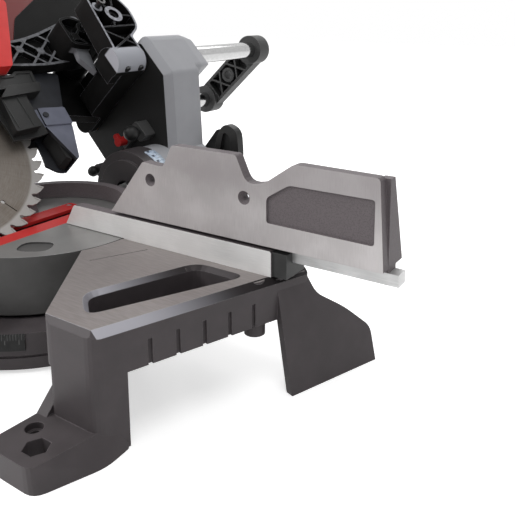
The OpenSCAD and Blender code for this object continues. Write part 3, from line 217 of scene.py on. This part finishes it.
def painted_casting(name, colour, worn, roughness=0.42, wear=0.5):
    """Cast paint in clouds of two tones, rubbed to the worn colour along its edges."""
    finish = Finish(name, 1.0 * MM)
    patch = finish.noise(30 * MM, 4).ramp(0.3, 0.75)
    scuff = finish.noise(3 * MM, 4).ramp(0.42, 0.7)
    base = finish.mix(patch, tuple(0.9 * c for c in colour), tuple(1.1 * c for c in colour))
    rub = finish.edges() * (0.35 + 0.65 * scuff) * wear
    rough = roughness + 0.1 * patch - 0.08 * rub
    return finish.surface(finish.mix(rub, base, worn), rough, relief=cast_relief(finish), depth=0.06 * MM)


def base_finish():
    """Dark cast paint, with milled wing tops, whose bevels carry a painted highlight in front that fades to
    painted shade behind.
    """
    finish = Finish("base_paint", 1.2 * MM)
    _, y, z = finish.axes(finish.place())
    up = finish.axes(finish.facing())[2]
    nose_edge = FENCE - 159.2 * MM
    behind_nose = y.over(nose_edge, 0.2 * MM)
    milled = up.over(0.35, 0.1) * z.over(TABLE - 7 * MM, 0.3 * MM) * behind_nose
    patch = finish.noise(26 * MM, 4).ramp(0.3, 0.75)
    scuff = finish.noise(4 * MM, 4).ramp(0.45, 0.72)
    paint = finish.mix(patch, umber(0.054), umber(0.068))
    paint = finish.mix(finish.edges() * (0.3 + 0.5 * scuff), paint, umber(0.2))
    streak = finish.noise(2 * MM, 4, finish.stretch(finish.place(), (0.12, 1.0, 1.0)))
    bare = finish.mix(streak.ramp(0.3, 0.7), (0.235, 0.212, 0.206), (0.285, 0.258, 0.252))
    # The bevel colour is painted light: a painted highlight in front, fading to painted shade behind.
    bevel = finish.mix(y.ramp(FENCE - 130 * MM, FENCE - 25 * MM), (0.31, 0.306, 0.335), umber(0.025))
    bare = finish.mix(1 - up.over(0.85, 0.05), bare, bevel)
    bare = finish.mix(finish.edges(1.0 * MM) * 0.6, bare, grey(0.5, 0.01))
    rough = finish.blend(milled, 0.46 + 0.1 * patch, 0.36 + 0.12 * streak)
    relief = finish.blend(milled, cast_relief(finish), streak * 0.25)
    colour = finish.mix(milled, paint, bare)
    return finish.surface(colour, rough, milled * 0.55, relief, 0.07 * MM, Specular_IOR_Level=0.25)


def table_finish():
    """The turntable: a turned bright top on a dark cast drum."""
    finish = Finish("turned_table", 0.8 * MM)
    spot = finish.shift(finish.place(), (0.0, FENCE, 0.0))
    x, y, z = finish.axes(spot)
    radius = (x * x + y * y) ** 0.5
    up = finish.axes(finish.facing())[2]
    top = up.over(0.6, 0.15) * z.over(TABLE - 1.5 * MM, 0.2 * MM)
    rings = finish.noise(0.5 * MM, 3, finish.join(radius, 0.0, 0.0))
    patch = finish.noise(28 * MM, 4).ramp(0.3, 0.75)
    paint = finish.mix(patch, grey(0.070, 0.02), grey(0.092, 0.02))
    bare = finish.mix(rings.ramp(0.3, 0.7), grey(0.26, 0.015), grey(0.34, 0.015))
    bare = finish.mix(patch * 0.35, bare, grey(0.2, 0.03))
    bare = finish.mix(finish.edges(1.0 * MM), bare, grey(0.6))
    rough = finish.blend(top, 0.44 + 0.1 * patch, 0.3 + 0.14 * rings)
    relief = finish.blend(top, cast_relief(finish), rings * 0.3)
    colour = finish.mix(top, paint, bare)
    return finish.surface(colour, rough, top * 0.6, relief, 0.06 * MM, Specular_IOR_Level=0.3)


def bar_finish():
    """Drawn aluminium of the slide bars, with its grain along them."""
    finish = Finish("bar_grain", 0.5 * MM)
    grain = finish.noise(0.8 * MM, 4, finish.stretch(finish.place(), GRAIN_ACROSS))
    patch = finish.noise(40 * MM, 4).ramp(0.3, 0.75)
    tone = 0.65 * grain + 0.35 * patch
    colour = finish.mix(tone.ramp(0.3, 0.7), grey(0.46), grey(0.58))
    colour = finish.mix(finish.edges(0.9 * MM) * 0.7, colour, grey(0.75))
    return finish.surface(colour, 0.36 + 0.12 * grain, 0.75, grain * 0.25, 0.04 * MM)


def fence_finish(name, low, high, along, metal):
    """Grey casting whose front face is machined bright, with painted shade at its upper outer end.

    The grain of the face runs along the axis that has the smallest factor.
    """
    finish = Finish(name, 0.5 * MM)
    x, y, z = finish.axes(finish.place())
    front = 1 - finish.axes(finish.facing())[1].over(-0.9, 0.05)
    machined = front * (1 - y.over(FENCE + 0.6 * MM, 0.2 * MM))
    grain = finish.noise(0.8 * MM, 4, finish.stretch(finish.place(), along))
    patch = finish.noise(45 * MM, 4).ramp(0.3, 0.75)
    bright = finish.mix((0.6 * grain + 0.4 * patch).ramp(0.3, 0.7), low, high)
    # Painted shade: the bright face is darkened towards its upper outer end.
    painted_shade_upper_end = abs(x).ramp(110 * MM, 240 * MM) * z.ramp(TABLE + 45 * MM, TABLE + 95 * MM)
    bright = finish.mix(painted_shade_upper_end * 0.45, bright, umber(0.12))
    peel = finish.grains(1.1 * MM)
    dark = finish.mix(peel.ramp(0.1, 0.6), umber(0.085), umber(0.12))
    dark = finish.mix(finish.edges(0.9 * MM) * 0.5, dark, umber(0.3))
    rough = finish.blend(machined, 0.55, 0.36 + 0.12 * grain)
    relief = finish.blend(machined, peel, grain * 0.2)
    colour = finish.mix(machined, dark, bright)
    return finish.surface(colour, rough, metal * machined, relief, 0.07 * MM, Specular_IOR_Level=0.25)


def arm_finish():
    """The bevel arm: light grey paint on its sides, black on its front."""
    finish = Finish("arm_paint", 1.4 * MM)
    front = 1 - finish.axes(finish.facing())[1].over(-0.9, 0.06)
    patch = finish.noise(40 * MM, 3).ramp(0.3, 0.75)
    scuff = finish.noise(4 * MM, 4).ramp(0.5, 0.75)
    light = finish.mix(patch, (0.35, 0.353, 0.375), (0.38, 0.383, 0.405))
    colour = finish.mix(front, light, grey(0.014))
    colour = finish.mix(finish.edges() * (0.25 + 0.4 * scuff), colour, grey(0.5))
    relief = cast_relief(finish)
    return finish.surface(colour, 0.5 + 0.06 * patch, 0.0, relief, 0.04 * MM, Specular_IOR_Level=0.25)


def ribbed_casting(name, rib_top, pale, across, along, height):
    """Black casting with a painted highlight on its ribs in the plane rib_top of the upright head, and on
    one lug.

    The lug lies within the ranges across and along, below the height.
    """
    finish = Finish(name, 0.9 * MM)
    x, y, z = finish.axes(finish.upright(finish.place()))
    outward = finish.axes(finish.facing_upright())[0]
    lug = x.within(across[0], across[1], 1 * MM) * y.within(along[0], along[1], 1 * MM)
    lug = lug * (1 - z.over(height, 1.5 * MM))
    patch = finish.noise(22 * MM, 4).ramp(0.3, 0.75)
    scuff = finish.noise(5 * MM, 3).ramp(0.35, 0.65)
    # Painted highlight: the rib tops and the lug take the pale colour; rub joins this with real wear along
    # the edges.
    top = outward.over(0.9, 0.04) * x.within(rib_top - 0.6 * MM, rib_top + 0.6 * MM, 0.2 * MM)
    rub = top.most(finish.edges(1.4 * MM) * 0.6) * (0.6 + 0.4 * scuff)
    rub = rub.most(lug)
    colour = finish.mix(patch, grey(0.006, 0.01), grey(0.011, 0.01))
    colour = finish.mix(rub, colour, pale)
    relief = cast_relief(finish, 0.5 * MM)
    return finish.surface(colour, 0.6 + 0.1 * patch, relief=relief, depth=0.05 * MM, Specular_IOR_Level=0.06)


def moulded(name, low, high, roughness=0.45, grain=0.5 * MM, coat=0.0, rim=0.5, shine=0.25):
    """Textured plastic or rubber with slightly polished edges."""
    finish = Finish(name, 0.6 * MM)
    patch = finish.noise(18 * MM, 3).ramp(0.3, 0.75)
    pits = finish.grains(grain)
    colour = finish.mix(patch, low, high)
    colour = finish.mix(finish.edges() * rim, colour, tuple(0.05 + 1.6 * c for c in high))
    relief = pits * 0.8 + finish.noise(3 * grain, 2) * 0.5
    shell = {"Coat_Weight": coat, "Specular_IOR_Level": shine}
    return finish.surface(colour, roughness + 0.1 * patch, relief=relief, depth=0.05 * MM, **shell)


def shell_finish():
    """Deep red of the guard's right shell, with painted shade darkening the crest that lies behind it."""
    finish = Finish("red_shell", 0.8 * MM)
    x = finish.axes(finish.upright(finish.place()))[0]
    patch = finish.noise(25 * MM, 3).ramp(0.3, 0.75)
    red = finish.mix(patch, (0.66, 0.034, 0.031), (0.72, 0.042, 0.039))
    # Painted shade: the crest behind the shell is darkened.
    red = finish.mix(x.over(20 * MM, 0.5 * MM), (0.15, 0.010, 0.009), red)
    relief = finish.grains(1.2 * MM)
    return finish.surface(red, 0.34 + 0.08 * patch, relief=relief, depth=0.03 * MM, Specular_IOR_Level=0.15)


def boot_finish():
    """Blue-grey rubber of the dust boot, darker downwards, dark on its mouth, neck and screw, and with
    painted shade on its inside faces.
    """
    finish = Finish("boot_rubber")
    x, _, z = finish.axes(finish.shift(finish.upright(finish.place()), BLADE))
    across, along, _ = finish.axes(finish.facing_upright())
    # Painted shade: the faces inside the boot are darkened.
    painted_shade_inside = (x * across).ramp(-1 * MM, -3 * MM)
    mouth, neck, screw = along.ramp(-0.2, -0.4), z.over(28 * MM, 1 * MM), x.over(20.9 * MM, 0.2 * MM)
    dark = painted_shade_inside.most(mouth).most(neck).most(screw).most(z.ramp(-12 * MM, -50 * MM) * 0.35)
    patch = finish.noise(14 * MM, 3).ramp(0.3, 0.75)
    pale = finish.mix(patch, (0.15, 0.16, 0.21), (0.18, 0.19, 0.245))
    deep = finish.mix(patch, (0.012, 0.013, 0.017), (0.018, 0.020, 0.026))
    pits = finish.grains(0.6 * MM)
    return finish.surface(finish.mix(dark, pale, deep), 0.5 + 0.1 * patch, relief=pits, depth=0.04 * MM)


def plated(name, low, high, roughness):
    """Ground and plated steel with faint turning marks."""
    finish = Finish(name, 0.3 * MM)
    rings = finish.noise(0.7 * MM, 3, finish.stretch(finish.place(), (0.15, 1.0, 0.15)))
    smear = finish.noise(14 * MM, 4)
    colour = finish.mix(rings.ramp(0.3, 0.7), low, high)
    return finish.surface(colour, roughness + 0.1 * smear, 1.0, rings * 0.2, 0.01 * MM)


def turned_steel(name, low, high, metal=0.9):
    """Machined steel with smears between two tones."""
    finish = Finish(name, 0.3 * MM)
    smear = finish.noise(4 * MM, 4)
    fine = finish.noise(0.4 * MM, 3)
    colour = finish.mix(smear.ramp(0.3, 0.7), low, high)
    return finish.surface(colour, 0.28 + 0.2 * smear, metal, fine, 0.02 * MM)


def blade_finish():
    """Ground steel, worn brown inside a brighter ring at the teeth."""
    finish = Finish("blade_steel", 0.2 * MM)
    spot = finish.shift(finish.upright(finish.place()), BLADE)
    _, y, z = finish.axes(spot)
    radius = (y * y + z * z) ** 0.5
    turn = z.angle(y)
    arcs = finish.noise(0.6 * MM, 4, finish.join(radius, turn * 0.004, 0.0))
    rays = finish.noise(0.02, 4, finish.join(turn, radius * 0.12, 0.0))
    stain = finish.noise(24 * MM, 5).ramp(0.45, 0.75) * radius.ramp(50 * MM, 124 * MM)
    lines = (0.75 * arcs + 0.25 * rays).ramp(0.3, 0.7)
    worn = finish.mix(lines, (0.145, 0.126, 0.108), (0.205, 0.182, 0.160))
    worn = finish.mix(stain * 0.5, worn, (0.12, 0.095, 0.07))
    steel = finish.mix(radius.over(111 * MM, 2 * MM), worn, grey(0.33, 0.04))
    rough = 0.4 + 0.14 * arcs + 0.15 * stain
    return finish.surface(steel, rough, 0.5, arcs * 0.3, 0.02 * MM)


def mitre_scale_finish():
    """Dark plate round the base, with a mark at each degree."""
    finish = Finish("mitre_marks", 0.2 * MM)
    spot = finish.shift(finish.place(), (0.0, FENCE, 0.0))
    x, y, z = finish.axes(spot)
    degrees = x.angle(y * -1) * math.degrees(1)
    low, high = (corner.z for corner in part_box("mitre_scale"))
    span = high - low
    short = degrees.comb(1.0, 0.22, 0.06) * z.over(high - 0.34 * span, 0.1 * MM)
    long = degrees.comb(5.0, 0.34, 0.06) * z.over(high - 0.6 * span, 0.1 * MM)
    marks = short.most(long)
    smear = finish.noise(9 * MM, 4)
    plate = finish.mix(smear.ramp(0.3, 0.7), grey(0.015), grey(0.03))
    return finish.surface(finish.mix(marks, plate, grey(0.11)), 0.4 + 0.16 * smear, Specular_IOR_Level=0.2)


def bevel_scale_finish():
    """Pale plate on the hub, with a mark at each degree and bars where figures would stand."""
    finish = Finish("bevel_marks", 0.2 * MM)
    spot = finish.shift(finish.place(), BEVEL_AXIS)
    x, y, z = finish.axes(spot)
    degrees = x.angle(z) * math.degrees(1)
    low, high = (corner.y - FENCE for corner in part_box("bevel_scale"))
    span = high - low
    short = degrees.comb(1.0, 0.3, 0.08) * y.over(high - 0.3 * span, 0.2 * MM)
    long = degrees.comb(5.0, 0.5, 0.08) * y.over(high - 0.5 * span, 0.2 * MM)
    bars = degrees.comb(10.0, 3.4, 0.1) * y.within(low + 0.16 * span, low + 0.42 * span, 0.2 * MM)
    marks = short.most(long).most(bars)
    smear = finish.noise(7 * MM, 3)
    plate = finish.mix(smear.ramp(0.3, 0.7), (0.42, 0.52, 0.66), (0.62, 0.70, 0.80))
    return finish.surface(finish.mix(marks, plate, (0.02, 0.035, 0.07)), 0.35 + 0.1 * smear)


FINISHES = {
    "base_casting": base_finish(),
    "turntable": table_finish(),
    "fixed_fence": fence_finish("fixed_fence", grey(0.72, 0.01), grey(0.80, 0.01), GRAIN_ACROSS, 0.2),
    "bevel_arm": arm_finish(),
    # The pale colours given to head_arm and pivot_bracket are painted highlights on their rib tops and one
    # lug.
    "head_arm": ribbed_casting(
        "beam_casting", 36 * MM, (0.20, 0.205, 0.22), (53 * MM, 63 * MM), (128 * MM, 158 * MM), 205.5 * MM
    ),
    "pivot_bracket": ribbed_casting(
        "ear_casting", 115 * MM, (0.42, 0.43, 0.47), (98 * MM, 130 * MM), (129 * MM, 200 * MM), 161 * MM
    ),
    "rear_bracket": painted_casting("rear_bracket_paint", grey(0.026), grey(0.22), 0.5, 0.8),
    "guard_shell": shell_finish(),
    "dust_chute": boot_finish(),
    "blade": blade_finish(),
    "mitre_scale": mitre_scale_finish(),
    "bevel_scale": bevel_scale_finish(),
    "bevel_post": painted_casting("post_paint", umber(0.036), umber(0.2)),
    "stop_bracket": painted_casting("bracket_paint", grey(0.05), grey(0.3)),
    "drive_belt": moulded("belt_rubber", grey(0.012), grey(0.02), 0.6),
    "battery_pack": moulded("battery_plastic", grey(0.016), grey(0.026), 0.42),
    "lower_guard": painted_casting("lower_guard_paint", grey(0.10), grey(0.3), 0.35, 0.3),
    "rail_bushes": plated("bush_bronze", (0.40, 0.24, 0.10), (0.55, 0.36, 0.16), 0.3),
    "stator": plated("winding_copper", (0.40, 0.17, 0.08), (0.55, 0.25, 0.12), 0.35),
    "rails": plated("rail_plate", grey(0.40), grey(0.52), 0.07),
}
SHARED = [
    (
        fence_finish("sliding_fence", (0.46, 0.436, 0.436), (0.54, 0.516, 0.516), GRAIN_UPWARD, 0.3),
        "sliding_fence_right sliding_fence_left",
    ),
    (bar_finish(), "slide_bar_right slide_bar_left"),
    (
        moulded("red_plastic", (0.50, 0.022, 0.021), (0.57, 0.028, 0.027), 0.4, 0.8 * MM, 0.05, 0.25, 0.15),
        "kerf_plate_right kerf_plate_left detent_button override_lever trigger motor_cap",
    ),
    (
        moulded("black_plastic", grey(0.012), grey(0.02), 0.4, rim=0.35),
        "upper_guard belt_cover motor_housing side_panel fence_lever_right fence_lever_left"
        " post_knob stop_knob bevel_lock slide_lock mitre_lock",
    ),
    (moulded("grey_plastic", grey(0.03), grey(0.045), 0.45), "fence_caps lock_off"),
    (moulded("grip_rubber", grey(0.014), grey(0.022), 0.62, 0.9 * MM), "main_handle mitre_grip dust_flap"),
    (turned_steel("blackened_steel", grey(0.012), grey(0.03), 0.3), "pivot_pin rail_screws down_pin"),
    (
        turned_steel("turned_steel", grey(0.36), grey(0.52)),
        "mitre_bolt fence_bolts kerf_screws mitre_pointer bevel_bolt blade_flanges arbor_bolt spindle"
        " spindle_pulley motor_pulley rotor",
    ),
]
for finish, names in SHARED:
    for name in names.split():
        FINISHES[name] = finish
for name, node in nodes.items():
    for slot in node.material_slots:
        slot.material = FINISHES[name]


# Studio. Rays from the camera, and rays that shiny or clear surfaces send on, meet white.
SEEN_BY = ("Is Camera Ray", "Is Glossy Ray", "Is Transmission Ray")


def studio_floor():
    mesh = bpy.data.meshes.new("floor")
    half = 6.0
    corners = [(-half, -half, 0), (half, -half, 0), (half, half, 0), (-half, half, 0)]
    mesh.from_pydata(corners, [], [(0, 1, 2, 3)])
    finish = Finish("studio_floor")
    cloud = finish.noise(0.6, 2)
    seen = sum(finish.node("ShaderNodeLightPath", out=ray) for ray in SEEN_BY)
    lift = {"Emission_Color": finish.mix(seen, grey(0.0), grey(0.6)), "Emission_Strength": 1.0}
    mesh.materials.append(finish.surface(finish.mix(cloud, grey(0.86), grey(0.9)), 0.85, **lift))
    floor = bpy.data.objects.new("floor", mesh)
    bpy.context.scene.collection.objects.link(floor)


def soft_lamp(name, place, aim, size, watts):
    data = bpy.data.lights.new(name, "AREA")
    data.shape = "RECTANGLE"
    data.size, data.size_y = size
    data.energy = watts
    lamp = bpy.data.objects.new(name, data)
    lamp.location = place
    lamp.rotation_euler = (Vector(aim) - Vector(place)).to_track_quat("-Z", "Y").to_euler()
    bpy.context.scene.collection.objects.link(lamp)


def studio_world():
    """White behind the saw; as a light, stronger from the left than from the right."""
    world = bpy.data.worlds.new("studio")
    world.use_nodes = True
    tree = world.node_tree
    back = tree.nodes["Background"]
    back.inputs["Color"].default_value = (1.0, 1.0, 1.0, 1.0)
    way = tree.nodes.new("ShaderNodeTexCoord")
    parts = tree.nodes.new("ShaderNodeSeparateXYZ")
    tree.links.new(way.outputs["Generated"], parts.inputs[0])
    glow = tree.nodes.new("ShaderNodeMapRange")
    for name, value in {"From Min": -1.0, "From Max": 1.0, "To Min": 0.8, "To Max": 0.28}.items():
        glow.inputs[name].default_value = value
    tree.links.new(parts.outputs["X"], glow.inputs["Value"])
    path = tree.nodes.new("ShaderNodeLightPath")
    strength = glow.outputs[0]
    for ray in SEEN_BY:
        level = tree.nodes.new("ShaderNodeMix")
        level.inputs["B"].default_value = 1.0
        tree.links.new(path.outputs[ray], level.inputs["Factor"])
        tree.links.new(strength, level.inputs["A"])
        strength = level.outputs["Result"]
    tree.links.new(strength, back.inputs["Strength"])
    bpy.context.scene.world = world


def photograph_camera():
    right = Vector((math.cos(CAMERA_HEADING), math.sin(CAMERA_HEADING), 0))
    level = Vector((-math.sin(CAMERA_HEADING), math.cos(CAMERA_HEADING), 0))
    ahead = level * math.cos(CAMERA_PITCH) - Vector((0, 0, math.sin(CAMERA_PITCH)))
    above = right.cross(ahead)
    data = bpy.data.cameras.new("camera")
    data.sensor_width = 36.0
    data.lens = data.sensor_width * FOCAL_LENGTH / PHOTO_WIDTH
    data.shift_x, data.shift_y = -0.032, -0.2534
    data.clip_start, data.clip_end = 0.02, 30.0
    camera = bpy.data.objects.new("camera", data)
    turn = Matrix((right, above, -ahead)).transposed().to_4x4()
    camera.matrix_world = Matrix.Translation(CAMERA_PLACE) @ turn
    bpy.context.scene.collection.objects.link(camera)
    bpy.context.scene.camera = camera


studio_floor()
studio_world()
soft_lamp("key", (-1.7, -1.4, 1.9), (0.1, 0.1, 0.1), (1.4, 1.0), 42)
soft_lamp("top", (0.9, -0.1, 2.4), (0.1, 0.2, 0.1), (1.2, 1.2), 14)
soft_lamp("rim", (-0.4, 1.8, 1.8), (0.0, 0.2, 0.2), (1.6, 0.8), 12)
photograph_camera()
bpy.context.scene.view_settings.view_transform = "Standard"
